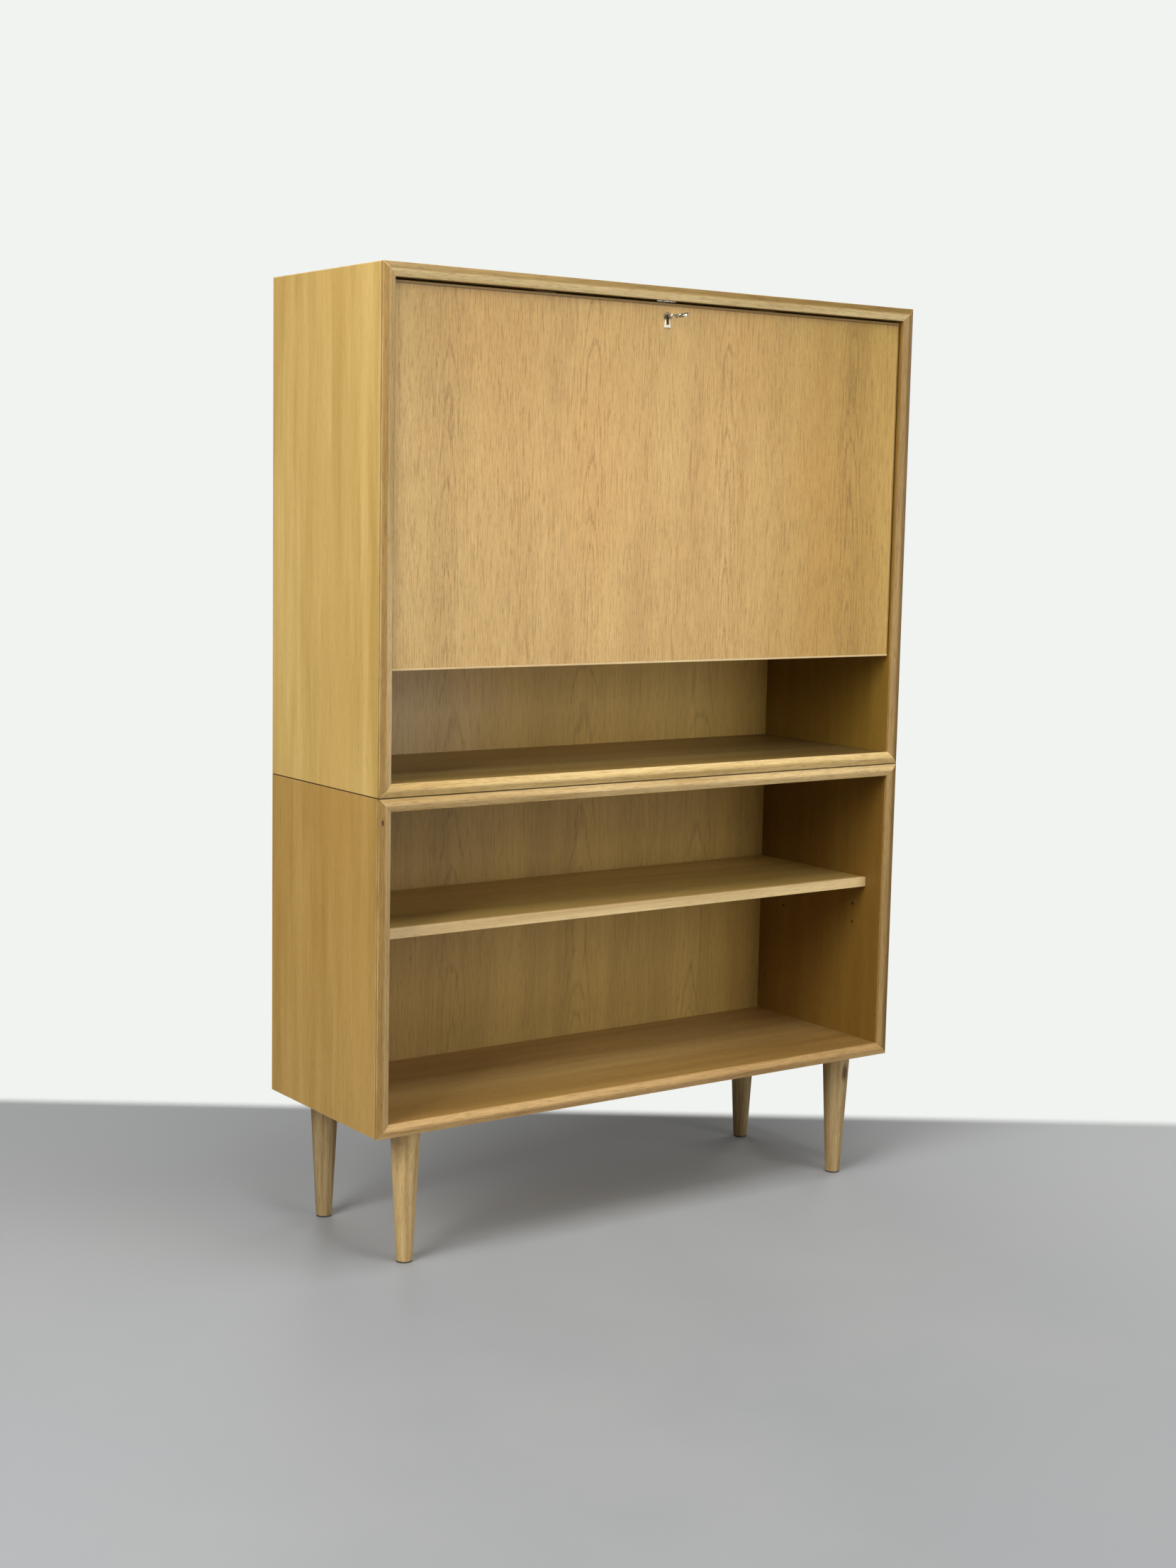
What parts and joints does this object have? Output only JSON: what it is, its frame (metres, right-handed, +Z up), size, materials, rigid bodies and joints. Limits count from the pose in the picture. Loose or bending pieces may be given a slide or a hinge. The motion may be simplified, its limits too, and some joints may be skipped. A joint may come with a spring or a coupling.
{
  "type": "secretary desk",
  "caption": "Oak secretary desk on four turned legs: upper carcass with a lockable drop flap on two sliding stays over an open bay, lower carcass with an adjustable shelf.",
  "frame": {"origin": "on the floor, under the middle of the whole desk's box with its key", "axes": "+X to the desk's right as seen from the front, +Y to its back, +Z up"},
  "size_m": [1, 0.368, 1.457],
  "materials": {
    "oak_side_veneer": "satin lacquer",
    "oak_interior_veneer": "satin lacquer",
    "oak_lipping": "satin lacquer",
    "oak_flap_veneer": "satin lacquer",
    "oak_leg": "satin lacquer",
    "oak_shelf_lipping": "satin lacquer",
    "back_veneer": "satin lacquer",
    "plywood": "plain",
    "beech": "plain",
    "nickel": "worn nickel plate",
    "screw_steel": "zinc plate",
    "brass": "satin",
    "glide_steel": "worn",
    "felt": "felt",
    "nylon": "plain"
  },
  "bodies": {
    "root": {"upper_side_left": "oak_side_veneer", "upper_side_right": "oak_side_veneer", "upper_top": "oak_side_veneer", "upper_bottom": "oak_side_veneer", "lower_side_left": "oak_side_veneer", "lower_side_right": "oak_side_veneer", "lower_top": "oak_side_veneer", "lower_bottom": "oak_side_veneer", "upper_lipping_left": "oak_lipping", "upper_lipping_right": "oak_lipping", "upper_lipping_top": "oak_lipping", "upper_lipping_bottom": "oak_lipping", "lower_lipping_left": "oak_lipping", "lower_lipping_right": "oak_lipping", "lower_lipping_top": "oak_lipping", "lower_lipping_bottom": "oak_lipping", "compartment_floor_lipping": "oak_lipping", "compartment_floor": "oak_interior_veneer", "letter_shelf": "oak_interior_veneer", "ledger_shelf": "oak_interior_veneer", "pigeonhole_dividers": "oak_interior_veneer", "adjustable_shelf": "oak_interior_veneer", "flap_stops": "oak_interior_veneer", "upper_back": "back_veneer", "lower_back": "back_veneer", "adjustable_shelf_lipping": "oak_shelf_lipping", "leg_front_left": "oak_leg", "leg_front_right": "oak_leg", "leg_back_left": "oak_leg", "leg_back_right": "oak_leg", "mitre_splines": "plywood", "stacking_dowels": "beech", "back_panel_screws": "screw_steel", "carcass_screws": "screw_steel", "leg_bolts": "screw_steel", "leg_inserts": "screw_steel", "shelf_pegs": "screw_steel", "leg_glides": "glide_steel", "flap_stop_felts": "felt", "hinge_washers": "nylon", "hinge_side_leaves": "brass", "stay_bases": "nickel", "strike_plate": "nickel"},
    "flap": {"flap_panel": "oak_flap_veneer", "flap_lipping_top": "oak_lipping", "flap_lipping_bottom": "oak_lipping", "flap_lippings_side": "oak_lipping", "hinge_flap_leaves": "brass", "flap_screws": "screw_steel", "stay_brackets": "nickel", "lock_case": "nickel", "lock_cover": "nickel", "escutcheon": "nickel"},
    "stay_rod_left": {"stay_rod_left": "nickel"},
    "stay_rod_right": {"stay_rod_right": "nickel"},
    "stay_swivel_left": {"stay_swivel_left": "nickel"},
    "stay_swivel_right": {"stay_swivel_right": "nickel"},
    "key": {"key": "nickel"},
    "lock_bolt": {"lock_bolt": "nickel"}
  },
  "joints": [
    {"name": "flap_hinge", "type": "hinge", "parent": "root", "child": "flap", "pos_m": [0, -0.127, 0.895], "axis": [1, 0, 0], "range_deg": [0, 90]},
    {"name": "stay_eye_left", "type": "hinge", "parent": "flap", "child": "stay_rod_left", "pos_m": [-0.465, -0.111, 1.04414], "axis": [1, 0, 0], "range_deg": [-45, 0]},
    {"name": "stay_post_left", "type": "hinge", "parent": "root", "child": "stay_swivel_left", "pos_m": [-0.465, -0.03058, 1.00991], "axis": [1, 0, 0], "range_deg": [0, 45]},
    {"name": "stay_eye_right", "type": "hinge", "parent": "flap", "child": "stay_rod_right", "pos_m": [0.465, -0.111, 1.04414], "axis": [1, 0, 0], "range_deg": [-45, 0]},
    {"name": "stay_post_right", "type": "hinge", "parent": "root", "child": "stay_swivel_right", "pos_m": [0.465, -0.03058, 1.00991], "axis": [1, 0, 0], "range_deg": [0, 45]},
    {"name": "key_turn", "type": "hinge", "parent": "flap", "child": "key", "pos_m": [0, -0.136, 1.413], "axis": [0, 1, 0], "range_deg": [0, 44]},
    {"name": "bolt_slide", "type": "slide", "parent": "flap", "child": "lock_bolt", "axis": [0, 0, 1], "range_m": [0, 0.0068]}
  ],
  "couplings": [
    {"joint": "stay_eye_left", "follows": "flap_hinge", "ratio": -0.5},
    {"joint": "stay_post_left", "follows": "flap_hinge", "ratio": 0.5},
    {"joint": "stay_eye_right", "follows": "flap_hinge", "ratio": -0.5},
    {"joint": "stay_post_right", "follows": "flap_hinge", "ratio": 0.5},
    {"joint": "bolt_slide", "follows": "key_turn", "m_per_rad": 0.0087805}
  ]
}
